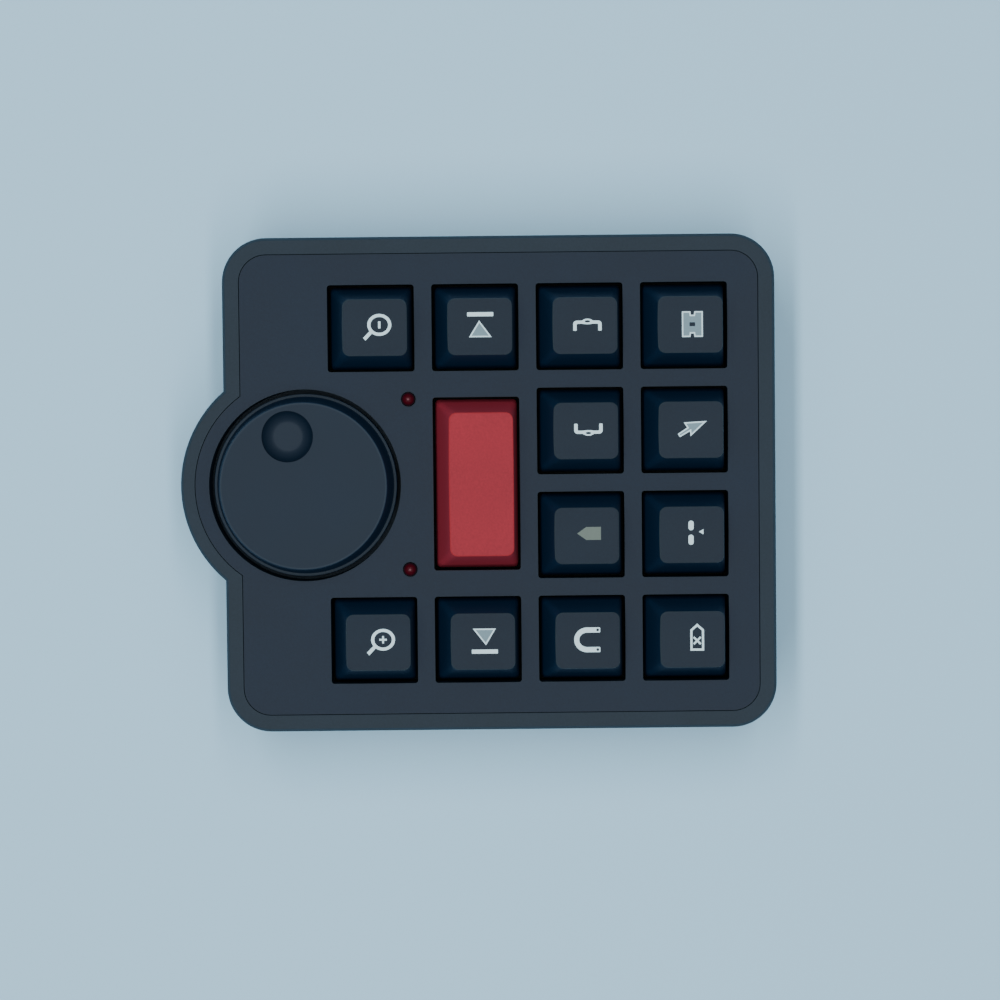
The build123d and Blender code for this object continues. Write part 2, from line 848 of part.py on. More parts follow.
# Jog dial: a tapered cap with a hub inside and a finger dimple near its edge
dial_axis = Axis((0, dial_y, 0), (0, 0, 1))
dimple_point = Vector(dial_top_radius - dimple_rim_gap - dimple_radius, 0, 0)
dimple_point = dimple_point.rotate(Axis.Z, dimple_bearing) + Vector(0, dial_y, 0)
dial_inner_radius = dial_top_radius - dial_wall
with BuildPart() as jog_dial:
    with BuildSketch(front_view(0, dial_y)):
        with BuildLine():
            Polyline(
                (0, dial_top_z),
                (dial_top_radius, dial_top_z),
                (dial_radius, dial_skirt_z),
                (dial_inner_radius, dial_skirt_z),
                (dial_inner_radius, dial_ceiling_z),
                (0, dial_ceiling_z),
                close=True,
            )
        make_face()
    revolve(axis=dial_axis)
    extrude(octagons(hub_z, [(0, dial_y)], hub_radius), amount=dial_ceiling_z - hub_z)
    extrude(
        shaft_profile(hub_z, shaft_radius + stem_clear, shaft_flat + stem_clear),
        amount=dial_ceiling_z - hub_z,
        mode=Mode.SUBTRACT,
    )
    with BuildSketch(front_view(dimple_point.X, dimple_point.Y)):
        with BuildLine():
            Polyline(
                (0, dial_top_z),
                (dimple_radius, dial_top_z),
                (dimple_floor_radius, dial_top_z - dimple_depth),
                (0, dial_top_z - dimple_depth),
                close=True,
            )
        make_face()
    revolve(axis=Axis(dimple_point, (0, 0, 1)), mode=Mode.SUBTRACT)
save(jog_dial.part, "jog_dial")

# Sizes of the motion, for whoever sets up the joints
wire_arm = ((wire_tip_y - wire_y) ** 2 + (wire_tip_z - wire_z) ** 2) ** 0.5
wire_swing = 2 * degrees(asin(key_travel / 2 / wire_arm))
print("case", case_width, case_depth, "bump reach", bump_reach)
print("first row y", first_row_y, "pitch", key_pitch, "dial y", dial_y, "rear y", case_rear_y)
print("key top z", key_top_z, "dial top z", dial_top_z, "panel top z", panel_top_z)
print("wire axis y z", wire_y, wire_z, "swing degrees", wire_swing)
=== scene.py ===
import json
import math

import bmesh
import bpy
from mathutils import Matrix, Vector


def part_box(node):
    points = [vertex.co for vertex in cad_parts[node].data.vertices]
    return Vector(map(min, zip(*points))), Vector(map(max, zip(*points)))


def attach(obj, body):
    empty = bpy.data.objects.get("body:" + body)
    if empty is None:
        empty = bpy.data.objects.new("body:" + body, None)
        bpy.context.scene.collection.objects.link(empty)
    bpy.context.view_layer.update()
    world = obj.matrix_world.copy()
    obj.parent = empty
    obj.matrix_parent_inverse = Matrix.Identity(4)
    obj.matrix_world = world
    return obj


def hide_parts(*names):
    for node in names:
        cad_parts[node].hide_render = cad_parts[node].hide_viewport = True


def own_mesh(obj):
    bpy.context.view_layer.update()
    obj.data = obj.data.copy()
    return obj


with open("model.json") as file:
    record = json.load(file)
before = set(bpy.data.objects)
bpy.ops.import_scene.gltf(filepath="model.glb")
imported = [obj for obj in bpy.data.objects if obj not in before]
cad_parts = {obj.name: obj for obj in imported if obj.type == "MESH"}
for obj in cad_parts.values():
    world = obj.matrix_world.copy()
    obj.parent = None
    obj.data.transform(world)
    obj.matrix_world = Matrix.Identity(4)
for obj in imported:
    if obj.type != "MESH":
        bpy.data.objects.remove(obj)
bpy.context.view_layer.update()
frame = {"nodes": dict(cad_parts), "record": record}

# Lengths are in millimetres, and become metres where a mesh is made
MM = 0.001
TURN = 2 * math.pi

# Keycaps. Each slope is how far a side draws in over the cap's height
SIDE_SLOPE = 2.93
FRONT_SLOPE = 3.24
REAR_SLOPE = 0.94
MEAN_SLOPE = (FRONT_SLOPE + REAR_SLOPE) / 2
TOP_SHIFT = (FRONT_SLOPE - REAR_SLOPE) / 2
CAP_BASE_CORNER = 1.0
CAP_TOP_CORNER = 1.7
CAP_INNER_CORNER = 0.4
CAP_EDGE = 0.3
CAP_FOOT_EDGE = 0.08
CAP_DISH = 0.45
CAP_WALL = 1.4
CAP_ROOF = 1.5
CAP_HEIGHT = 9.0
CAP_CROWN_WALL = 1.2
POST_RADIUS = 2.75
POST_BORE = 2.1
POST_RECESS = 0.7
POST_GRIP = 0.25
STABILISER_INSET = 2.2
WIDE_KEY = 1.5

# Plate and lamps
WELL_CORNER = 0.65
PLATE_EDGE = 0.09
WELL_GAP = 0.475
DIAL_GAP = 1.1
LAMP_CLEAR = 0.1

# Counts of steps
CORNER_STEPS = 6
SIDE_STEPS = 12
ROUND_STEPS = 96
SMALL_ROUND_STEPS = 40
POST_STEPS = 24
CAP_EDGE_STEPS = 5
CAP_TOP_STEPS = 9
CAP_WALL_SHARES = (0.35, 0.7)


def box(node):
    """Lowest and highest corner of a CAD node, in millimetres."""
    low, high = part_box(node)
    return low / MM, high / MM


def middle(low, high):
    """The middle of a box seen from above."""
    return (low.x + high.x) / 2, (low.y + high.y) / 2


class Wire:
    """An output of a material's nodes. Arithmetic on it adds Math nodes."""

    def __init__(self, finish, socket):
        self.finish = finish
        self.socket = socket

    def maths(self, operation, first, second):
        return self.finish.maths(operation, first, second)

    def __add__(self, other):
        return self.maths("ADD", self, other)

    def __radd__(self, other):
        return self.maths("ADD", other, self)

    def __sub__(self, other):
        return self.maths("SUBTRACT", self, other)

    def __rsub__(self, other):
        return self.maths("SUBTRACT", other, self)

    def __mul__(self, other):
        return self.maths("MULTIPLY", self, other)

    def __rmul__(self, other):
        return self.maths("MULTIPLY", other, self)

    def __pow__(self, other):
        return self.maths("POWER", self, other)

    def __rpow__(self, other):
        return self.maths("POWER", other, self)

    def __gt__(self, other):
        return self.maths("GREATER_THAN", self, other)

    def __lt__(self, other):
        return self.maths("LESS_THAN", self, other)


class Finish:
    """A surface finish, built from nodes."""

    def __init__(self, name):
        self.material = bpy.data.materials.new(name)
        self.material.use_nodes = True
        self.tree = self.material.node_tree
        self.tree.nodes.clear()

    def node(self, kind, settings=None, sockets=None, output=0):
        """A node of a type, with its settings and the values or links of its sockets."""
        node = self.tree.nodes.new(kind)
        for name, value in (settings or {}).items():
            setattr(node, name, value)
        for name, value in (sockets or {}).items():
            if isinstance(value, Wire):
                self.tree.links.new(value.socket, node.inputs[name])
            else:
                node.inputs[name].default_value = value
        return Wire(self, node.outputs[output]) if node.outputs else None

    def noise(self, size, detail=2.0, roughness=0.5):
        """Soft noise with grains of about a size, from 0 to 1."""
        place = self.node("ShaderNodeTexCoord", output="Object")
        sockets = {"Vector": place, "Scale": 1 / (size * MM), "Detail": detail, "Roughness": roughness}
        return self.node("ShaderNodeTexNoise", {}, sockets)

    def grain(self, size):
        """The fine grain of a moulded surface, from 0 to 1."""
        return self.noise(size, detail=3.0, roughness=0.6)

    def blend(self, share, first, second):
        """A colour between two, by a share."""
        settings = {"data_type": "RGBA", "blend_type": "MIX"}
        sockets = {0: share, 6: first, 7: second}
        return self.node("ShaderNodeMix", settings, sockets, output=2)

    def facing_up(self, band):
        """How level the surface is, from 0 to 1 over a band of how far its normal points up."""
        steepest, flattest = band
        normal = self.node("ShaderNodeTexCoord", output="Normal")
        upward = self.node("ShaderNodeSeparateXYZ", {}, {"Vector": normal}, output="Z")
        return self.maths("DIVIDE", upward - steepest, flattest - steepest, True)

    def maths(self, operation, first, second, clamp=False):
        """A Math node."""
        settings = {"operation": operation, "use_clamp": clamp}
        return self.node("ShaderNodeMath", settings, {0: first, 1: second})

    def relief(self, height, depth):
        """The normal of a surface with a height from 0 to 1 times a depth."""
        sockets = {"Height": height, "Distance": depth * MM, "Strength": 1.0}
        return self.node("ShaderNodeBump", {}, sockets)

    def surface(self, sockets):
        """Ends the material in a Principled surface."""
        shader = self.node("ShaderNodeBsdfPrincipled", {}, sockets)
        self.node("ShaderNodeOutputMaterial", {}, {"Surface": shader})
        return self.material


def shade(colour, factor):
    """A colour made lighter or darker."""
    return tuple(part * factor for part in colour[:3]) + (1.0,)


dial_low, dial_high = box("jog_dial")
dial_y = middle(dial_low, dial_high)[1]

# Surfaces: sizes of grain, specks and clouds, and how much each changes the roughness
GRAIN = 0.16
GRAIN_DEPTH = 0.006
GRAIN_ROUGHNESS = 0.12
SPECK = 0.45
SPECK_SHARE = 0.6
CLOUD = 18.0
CLOUD_ROUGHNESS = 0.08
DIAL_GRAIN_DEPTH = 0.003
DIAL_ROUGHNESS = 0.5
DIAL_CLOUDINESS = 0.15
INK_GRAIN = 0.2
INK_GRAIN_DEPTH = 0.001
LAMP_CLOUD = 0.4
LAMP_CLOUDINESS = 0.2
LAMP_ROUGHNESS = 0.25
LAMP_CLOUD_ROUGHNESS = 0.1
LAMP_GLOSS = 0.3
DRAWN_GRAIN = 0.08
DRAWN_STRETCH = 6.0
DRAWN_DARK = 0.88
DRAWN_LIGHT = 1.08
DRAWN_DEPTH = 0.002
DRAWN_ROUGHNESS = 0.2
SHEEN = 0.82

# Bands of how far a normal points up, from wall to level; they set where painted shade and painted
# highlights go
WALL_BAND = (0.55, 0.97)
DIMPLE_BAND = (0.7, 0.97)
LAMP_RIM_SHADE_BAND = (0.45, 0.8)
LAMP_HIGHLIGHT_BAND = (0.985, 0.998)

# Painted highlight on rounded edges: brings the peak of level * (1 - level), half way round an edge, to 1
HIGHLIGHT_LIFT = 4.0

# Colours
CASE_COLOUR = (0.0165, 0.026, 0.037)
# Painted shade: the case's steep faces are darker than its level ones
CASE_WALL_SHADE_COLOUR = (0.006, 0.018, 0.036)
PANEL_COLOUR = (0.0105, 0.017, 0.031)
# Painted highlight along the plate's rounded edges
PANEL_EDGE_HIGHLIGHT_COLOUR = (0.05, 0.065, 0.075)
CAP_COLOUR = (0.009, 0.016, 0.028)
# Painted shade on the keycaps' sides and a painted highlight on their rounded top edges
CAP_WALL_SHADE_COLOUR = (0.001, 0.014, 0.038)
CAP_EDGE_HIGHLIGHT_COLOUR = (0.03, 0.042, 0.05)
PLAY_COLOUR = (0.32, 0.017, 0.029)
# Painted shade on the red key's sides and a painted highlight on its rounded top edges
PLAY_WALL_SHADE_COLOUR = (0.30, 0.026, 0.045)
PLAY_EDGE_HIGHLIGHT_COLOUR = (0.40, 0.03, 0.035)
DIAL_COLOUR = (0.010, 0.0175, 0.031)
# Painted shade on the dimple's sides and the dial's skirt; painted highlight on level faces beyond the edge
# line, at the rounded top edge and the flange
DIMPLE_SHADE_COLOUR = (0.0015, 0.0085, 0.020)
SKIRT_SHADE_COLOUR = (0.003, 0.018, 0.045)
DIAL_EDGE_HIGHLIGHT_COLOUR = (0.017, 0.028, 0.043)
DIAL_EDGE_LINE = 17.85
LAMP_COLOUR = (0.05, 0.001, 0.005)
# Painted shade round the lens's steep rim and a painted highlight where it faces straight up
LAMP_RIM_SHADE_COLOUR = (0.02, 0.002, 0.006)
LAMP_HIGHLIGHT_COLOUR = (0.15, 0.05, 0.06)
INK_COLOUR = (0.70, 0.88, 0.93)
FADED_INK_COLOUR = (0.21, 0.29, 0.33)
MARKER_INK_COLOUR = (0.15, 0.18, 0.155)


def moulded_plastic(
    name,
    colour,
    grain=GRAIN,
    depth=GRAIN_DEPTH,
    roughness=0.5,
    spread=0.2,
    gloss=0.5,
    wall_shade=None,
    edges=None,
):
    """Injection-moulded plastic with a spark-eroded grain and slight cloudiness.

    Steep faces can get another colour than level faces, as painted shade, and the rounded edges between
    them a lighter one, as a painted highlight.
    """
    finish = Finish(name)
    fine = finish.grain(grain)
    cloud = finish.noise(CLOUD)
    speck = finish.noise(SPECK)
    patches = cloud * (1 - SPECK_SHARE) + speck * SPECK_SHARE
    mix = finish.blend(patches, shade(colour, 1 - 2 * spread), shade(colour, 1 + 2 * spread))
    # Painted shade on steep faces and a painted highlight on rounded edges, by how far the surface faces up
    level = finish.facing_up(WALL_BAND)
    if wall_shade:
        mix = finish.blend(level, shade(wall_shade, 1), mix)
    if edges:
        painted_highlight = finish.maths("MULTIPLY", level * (1 - level), HIGHLIGHT_LIFT, True)
        mix = finish.blend(painted_highlight, mix, shade(edges, 1))
    rough = roughness + (fine - 0.5) * GRAIN_ROUGHNESS + (cloud - 0.5) * CLOUD_ROUGHNESS
    normal = finish.relief(fine, depth)
    return finish.surface(
        {"Base Color": mix, "Roughness": rough, "Normal": normal, "Specular IOR Level": gloss}
    )


def dial_plastic(name):
    """The dial's plastic, by how far it lies from the dial's axis.

    Beyond the edge line come the rounded edge, the skirt and the flange at its foot. Level faces there get
    a painted highlight, the skirt gets painted shade, and so do the dimple's sides.
    """
    finish = Finish(name)
    place = finish.node("ShaderNodeTexCoord", output="Object")
    across = finish.node("ShaderNodeSeparateXYZ", {}, {"Vector": place}, output="X")
    along = finish.node("ShaderNodeSeparateXYZ", {}, {"Vector": place}, output="Y") - dial_y * MM
    outer = (across * across + along * along) ** 0.5 > DIAL_EDGE_LINE * MM
    fine = finish.grain(GRAIN)
    cloud = finish.noise(CLOUD)
    dark, pale = shade(DIAL_COLOUR, 1 - DIAL_CLOUDINESS), shade(DIAL_COLOUR, 1 + DIAL_CLOUDINESS)
    top = finish.blend(cloud, dark, pale)
    # Painted highlight on level faces beyond the edge line; painted shade on the skirt and the dimple's
    # sides
    top = finish.blend(outer, top, shade(DIAL_EDGE_HIGHLIGHT_COLOUR, 1))
    wall_shade = finish.blend(outer, shade(DIMPLE_SHADE_COLOUR, 1), shade(SKIRT_SHADE_COLOUR, 1))
    mix = finish.blend(finish.facing_up(DIMPLE_BAND), wall_shade, top)
    rough = DIAL_ROUGHNESS + (fine - 0.5) * GRAIN_ROUGHNESS + (cloud - 0.5) * CLOUD_ROUGHNESS
    normal = finish.relief(fine, DIAL_GRAIN_DEPTH)
    return finish.surface(
        {"Base Color": mix, "Roughness": rough, "Normal": normal, "Specular IOR Level": SHEEN}
    )


def lamp_lens(name):
    """Tinted lens, with painted shade round its steep rim and a painted highlight in its middle, where it
    faces straight up.
    """
    finish = Finish(name)
    cloud = finish.noise(LAMP_CLOUD)
    dark, pale = shade(LAMP_COLOUR, 1 - LAMP_CLOUDINESS), shade(LAMP_COLOUR, 1 + LAMP_CLOUDINESS)
    tint = finish.blend(cloud, dark, pale)
    # Painted shade round the steep rim, then a painted highlight where the lens faces straight up
    mix = finish.blend(finish.facing_up(LAMP_RIM_SHADE_BAND), shade(LAMP_RIM_SHADE_COLOUR, 1), tint)
    mix = finish.blend(finish.facing_up(LAMP_HIGHLIGHT_BAND), mix, shade(LAMP_HIGHLIGHT_COLOUR, 1))
    rough = LAMP_ROUGHNESS + (cloud - 0.5) * LAMP_CLOUD_ROUGHNESS
    return finish.surface({"Base Color": mix, "Roughness": rough, "Specular IOR Level": LAMP_GLOSS})


def metal(name, colour, roughness=0.35):
    """Metal with fine drawn lines."""
    finish = Finish(name)
    place = finish.node("ShaderNodeTexCoord", output="Object")
    drawn = finish.node("ShaderNodeMapping", {}, {"Vector": place, "Scale": (1.0, 1.0, DRAWN_STRETCH)})
    sockets = {"Vector": drawn, "Scale": 1 / (DRAWN_GRAIN * MM), "Detail": 3.0}
    lines = finish.node("ShaderNodeTexNoise", {}, sockets)
    mix = finish.blend(lines, shade(colour, DRAWN_DARK), shade(colour, DRAWN_LIGHT))
    rough = roughness + (lines - 0.5) * DRAWN_ROUGHNESS
    normal = finish.relief(lines, DRAWN_DEPTH)
    return finish.surface({"Base Color": mix, "Roughness": rough, "Metallic": 1.0, "Normal": normal})


finishes = {
    # The steep-face and edge colours given here are painted shade and painted highlights; the panel's steep
    # faces keep its own colour
    "case_plastic": moulded_plastic(
        "case_plastic", CASE_COLOUR, roughness=0.55, gloss=SHEEN, wall_shade=CASE_WALL_SHADE_COLOUR
    ),
    "panel_plastic": moulded_plastic(
        "panel_plastic",
        PANEL_COLOUR,
        grain=0.25,
        depth=0.003,
        gloss=SHEEN,
        wall_shade=PANEL_COLOUR,
        edges=PANEL_EDGE_HIGHLIGHT_COLOUR,
    ),
    "keycap_plastic": moulded_plastic(
        "keycap_plastic", CAP_COLOUR, gloss=SHEEN, wall_shade=CAP_WALL_SHADE_COLOUR, edges=CAP_EDGE_HIGHLIGHT_COLOUR
    ),
    "play_keycap_plastic": moulded_plastic(
        "play_keycap_plastic", PLAY_COLOUR, gloss=SHEEN, wall_shade=PLAY_WALL_SHADE_COLOUR, edges=PLAY_EDGE_HIGHLIGHT_COLOUR
    ),
    "dial_plastic": dial_plastic("dial_plastic"),
    "slider_plastic": moulded_plastic("slider_plastic", (0.35, 0.08, 0.05), roughness=0.35),
    "switch_plastic": moulded_plastic("switch_plastic", (0.004, 0.013, 0.028)),
    "board_laminate": moulded_plastic("board_laminate", (0.006, 0.009, 0.012), roughness=0.3),
    "chip_plastic": moulded_plastic("chip_plastic", (0.02, 0.02, 0.02), roughness=0.4),
    "lamp_plastic": lamp_lens("lamp_plastic"),
    "encoder_plastic": moulded_plastic("encoder_plastic", (0.03, 0.03, 0.03), roughness=0.4),
    "feet_rubber": moulded_plastic(
        "feet_rubber", (0.018, 0.018, 0.018), grain=0.3, depth=0.01, roughness=0.8
    ),
    "spring_steel": metal("spring_steel", (0.62, 0.62, 0.62)),
    "plate_steel": moulded_plastic(
        "plate_steel", (0.02, 0.021, 0.022), grain=0.2, depth=0.008, roughness=0.6
    ),
    "socket_steel": metal("socket_steel", (0.68, 0.68, 0.69), 0.25),
    "nut_brass": metal("nut_brass", (0.72, 0.60, 0.38), 0.3),
    "shaft_aluminium": metal("shaft_aluminium", (0.75, 0.75, 0.76), 0.3),
    "screw_steel": metal("screw_steel", (0.22, 0.22, 0.23)),
}
ink = moulded_plastic("ink", INK_COLOUR, INK_GRAIN, INK_GRAIN_DEPTH, spread=0.03)
faded_ink = moulded_plastic("faded_ink", FADED_INK_COLOUR, INK_GRAIN, INK_GRAIN_DEPTH, spread=0.06)
marker_ink = moulded_plastic("marker_ink", MARKER_INK_COLOUR, INK_GRAIN, INK_GRAIN_DEPTH, spread=0.06)

# The finish and the body of each node
slot_of = {row["node"]: row["material_slot"] for row in frame["record"]["subparts"]}
body_of = {}
for body, nodes in frame["record"]["behaviour"]["bodies"].items():
    for node in nodes:
        body_of[node] = body
for name, node in frame["nodes"].items():
    for place in node.material_slots:
        place.material = finishes[slot_of[name]]

# The covers' edges are rounded, so that their joint shows as a fine line
COVER_EDGE = 0.2
COVER_SHARP = 40
COVER_JOIN = 0.01
for name in ("top_cover", "bottom_cover"):
    cover = frame["nodes"][name]
    cover.modifiers.new("Join corners", "WELD").merge_threshold = COVER_JOIN * MM
    rounding = cover.modifiers.new("Round edges", "BEVEL")
    rounding.width = COVER_EDGE * MM
    rounding.segments = 2
    rounding.limit_method = "ANGLE"
    rounding.angle_limit = math.radians(COVER_SHARP)
    cover.modifiers.new("Flat faces", "WEIGHTED_NORMAL").keep_sharp = True


def make_piece(name, stands_for, parts, sharp=40.0, material=None, slot=None, body=None):
    """An object from lists of vertices and faces, riding on the body of the node it stands for."""
    mesh = bpy.data.meshes.new(name)
    vertices, faces = [], []
    for part_vertices, part_faces in parts:
        start = len(vertices)
        vertices += [tuple(value * MM for value in vertex) for vertex in part_vertices]
        faces += [tuple(index + start for index in face) for face in part_faces]
    mesh.from_pydata(vertices, [], faces)
    mesh.shade_smooth()
    mesh.set_sharp_from_angle(angle=math.radians(sharp))
    item = bpy.data.objects.new(name, mesh)
    bpy.context.scene.collection.objects.link(item)
    slot = slot or slot_of[stands_for]
    mesh.materials.append(material or finishes[slot])
    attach(item, body or body_of[stands_for])
    if stands_for:
        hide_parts(stands_for)
    return item


# Rounded rectangles as rings that always have the same number of points
def ring_pattern():
    """Each point as a place on the inner rectangle and a direction out of its corner."""
    pattern = []
    corners = ((1, 1), (-1, 1), (-1, -1), (1, -1))
    for turn, (across, along) in enumerate(corners):
        for step in range(CORNER_STEPS + 1):
            angle = TURN / 4 * (turn + step / CORNER_STEPS)
            pattern.append((across, along, math.cos(angle), math.sin(angle)))
        next_across, next_along = corners[(turn + 1) % 4]
        for step in range(1, SIDE_STEPS):
            share = step / SIDE_STEPS
            pattern.append(
                (
                    across + (next_across - across) * share,
                    along + (next_along - along) * share,
                    math.cos(angle),
                    math.sin(angle),
                )
            )
    return pattern


RING = ring_pattern()


def rounded_ring(half_x, half_y, radius):
    """Points of a rounded rectangle about the origin."""
    return [
        (across * (half_x - radius) + radius * cosine, along * (half_y - radius) + radius * sine)
        for across, along, cosine, sine in RING
    ]


def circle_ring(radius, steps):
    """Points of a circle about the origin."""
    return [
        (radius * math.cos(TURN * step / steps), radius * math.sin(TURN * step / steps))
        for step in range(steps)
    ]


def shifted(points, x, y):
    """An outline moved along X and Y."""
    return [(px + x, py + y) for px, py in points]


def hole(points):
    """An outline turned the other way round, as a hole."""
    return list(reversed(points))


def skin(rings, close_first=False, close_last=False, loop=False):
    """Vertices and faces of a skin over rings with the same number of points."""
    count = len(rings[0])
    vertices = [point for ring in rings for point in ring]
    faces = []
    pairs = list(zip(range(len(rings) - 1), range(1, len(rings))))
    if loop:
        pairs.append((len(rings) - 1, 0))
    for first, second in pairs:
        for step in range(count):
            after = (step + 1) % count
            faces.append(
                (
                    first * count + step,
                    first * count + after,
                    second * count + after,
                    second * count + step,
                )
            )
    if close_first:
        faces.append(tuple(reversed(range(count))))
    if close_last:
        faces.append(tuple(range((len(rings) - 1) * count, len(rings) * count)))
    return vertices, faces


def move(points, x, y, z):
    """A flat ring set at a place."""
    return [(px + x, py + y, z) for px, py in points]


def dish(across, top_x):
    """How deep the dish of a keycap is at a distance from the middle of its top."""
    return CAP_DISH * max(0.0, 1 - (across / top_x) ** 2)


def keycap(name):
    """A tapered hollow keycap with rounded edges and a cylindrical dish in its top."""
    node = f"keycap_{name}"
    low, high = box(node)
    x, y = middle(low, high)
    base_x, base_y = (high.x - low.x) / 2, (high.y - low.y) / 2
    top_x = base_x - SIDE_SLOPE

    def size_at(z):
        share = (z - low.z) / CAP_HEIGHT
        half_x = base_x - SIDE_SLOPE * share
        half_y = base_y - MEAN_SLOPE * share
        shift = TOP_SHIFT * share
        corner = CAP_BASE_CORNER + (CAP_TOP_CORNER - CAP_BASE_CORNER) * share
        return half_x, half_y, shift, corner

    def point(pattern, z, inset, spread):
        across, along, cosine, sine = pattern
        half_x, half_y, shift, corner = size_at(z)
        px = across * (half_x - corner) + (corner - inset) * cosine
        py = along * (half_y - corner) + (corner - inset) * sine
        return px * spread, py * spread + shift

    def ring_at(z, inset, share, spread=1.0):
        ring = []
        for pattern in RING:
            px, py = point(pattern, z, inset, spread)
            lowered = z - share * dish(px, top_x)
            px, py = point(pattern, lowered, inset, spread)
            ring.append((px + x, py + y, lowered))
        return ring

    outer = [ring_at(low.z, CAP_FOOT_EDGE, 0), ring_at(low.z + CAP_FOOT_EDGE, 0, 0)]
    outer += [ring_at(low.z + CAP_HEIGHT * share, 0, 0) for share in CAP_WALL_SHARES]
    for step in range(CAP_EDGE_STEPS + 1):
        angle = TURN / 4 * step / CAP_EDGE_STEPS
        drop = CAP_EDGE * (1 - math.sin(angle))
        outer.append(ring_at(high.z - drop, CAP_EDGE * (1 - math.cos(angle)), 1))
    outer += [ring_at(high.z, CAP_EDGE, 1, 1 - step / CAP_TOP_STEPS) for step in range(1, CAP_TOP_STEPS)]

    ceiling = high.z - CAP_ROOF
    inner_x, inner_y = base_x - CAP_WALL, base_y - CAP_WALL
    crown_x, crown_y = top_x - CAP_CROWN_WALL, base_y - MEAN_SLOPE - CAP_CROWN_WALL
    inner = [
        move(rounded_ring(inner_x, inner_y, CAP_INNER_CORNER), x, y, low.z),
        move(rounded_ring(crown_x, crown_y, CAP_INNER_CORNER), x, y + TOP_SHIFT, ceiling),
    ]
    parts = [skin(list(reversed(inner)) + outer, True, True)]
    post_low, post_high = low.z + POST_RECESS, ceiling + POST_GRIP
    profile = [(POST_BORE, post_high), (POST_BORE, post_low)]
    profile += [(POST_RADIUS, post_low), (POST_RADIUS, post_high)]
    offsets = [-stabiliser_x, 0.0, stabiliser_x] if base_x > base_y * WIDE_KEY else [0.0]
    for offset in offsets:
        post = [move(circle_ring(radius, POST_STEPS), x + offset, y, z) for radius, z in profile]
        parts.append(skin(post, loop=True))
    make_piece(f"cap_{name}", node, parts)


stabiliser_low, stabiliser_high = box("stabiliser_sliders")
stabiliser_x = (stabiliser_high.x - stabiliser_low.x) / 2 - STABILISER_INSET
keys = sorted(node[len("keycap_"):] for node in frame["nodes"] if node.startswith("keycap_"))
for key in keys:
    keycap(key)


def sheet(outlines, low, high, edge):
    """A flat sheet with holes and rounded edges; the first outline is its rim."""
    curve = bpy.data.curves.new("sheet", "CURVE")
    curve.dimensions = "2D"
    curve.fill_mode = "BOTH"
    curve.extrude = ((high - low) / 2 - edge) * MM
    curve.bevel_depth = edge * MM
    curve.bevel_resolution = 2 if edge else 0
    curve.offset = -edge * MM
    for outline in outlines:
        spline = curve.splines.new("POLY")
        spline.points.add(len(outline) - 1)
        for place, (x, y) in zip(spline.points, outline):
            place.co = (x * MM, y * MM, 0, 1)
        spline.use_cyclic_u = True
    item = bpy.data.objects.new("sheet", curve)
    bpy.context.scene.collection.objects.link(item)
    bpy.context.view_layer.update()
    mesh = bpy.data.meshes.new_from_object(item)
    lift = Vector((0, 0, (low + high) / 2))
    vertices = [tuple(vertex.co / MM + lift) for vertex in mesh.vertices]
    faces = [tuple(face.vertices) for face in mesh.polygons]
    bpy.data.objects.remove(item)
    bpy.data.curves.remove(curve)
    bpy.data.meshes.remove(mesh)
    return vertices, faces


# The case seen from above: a rounded rectangle with the dial's bump at its front
CASE_CORNER = 9.7
BUMP_RADIUS = 27.35
DIAL_TO_FRONT = 17.725
BUMP_STEPS = 40
CASE_STEPS = 14
CASE_RIM = 3.65
BUMP_RIM = 3.1
GROOVE = 0.13

case_high = box("top_cover")[1]


def case_ring(inset, bump_inset):
    """Points of the case's outline, with its straight sides and its bump drawn in."""
    side = case_high.x - inset
    rear = case_high.y - inset
    front = dial_y - DIAL_TO_FRONT + inset
    corner = CASE_CORNER - inset
    bump = BUMP_RADIUS - bump_inset
    half = math.acos((DIAL_TO_FRONT - inset) / bump)
    points = []
    for step in range(BUMP_STEPS + 1):
        angle = -TURN / 4 - half + 2 * half * step / BUMP_STEPS
        points.append((bump * math.cos(angle), dial_y + bump * math.sin(angle)))
    centres = (
        (side - corner, front + corner),
        (side - corner, rear - corner),
        (corner - side, rear - corner),
        (corner - side, front + corner),
    )
    for turn, (x, y) in enumerate(centres):
        for step in range(CASE_STEPS + 1):
            angle = TURN / 4 * (turn - 1 + step / CASE_STEPS)
            points.append((x + corner * math.cos(angle), y + corner * math.sin(angle)))
    return points


def well_ring(name, grow):
    """The opening in the plate round a key."""
    low, high = box(f"keycap_{name}")
    half_x, half_y = (high.x - low.x) / 2 + grow, (high.y - low.y) / 2 + grow
    return hole(shifted(rounded_ring(half_x, half_y, WELL_CORNER), *middle(low, high)))


# Face plate: a thin sheet with openings for the keys, the dial and the lamps
plate_low, plate_high = box("face_panel")
lamp_low, lamp_high = box("status_lamps")
LAMP_RADIUS = 1.5
LAMP_FLANGE = 1.9
LAMP_FLANGE_HEIGHT = 1.0
LAMP_SHOULDER = 1.8
LAMP_DOME_STEPS = 9
LAMP_HOLE_STEPS = 32
lamp_x = (lamp_high.x - lamp_low.x) / 2 - LAMP_FLANGE
lamp_y = middle(lamp_low, lamp_high)[1]
lamp_places = [(-lamp_x, lamp_y), (lamp_x, lamp_y)]

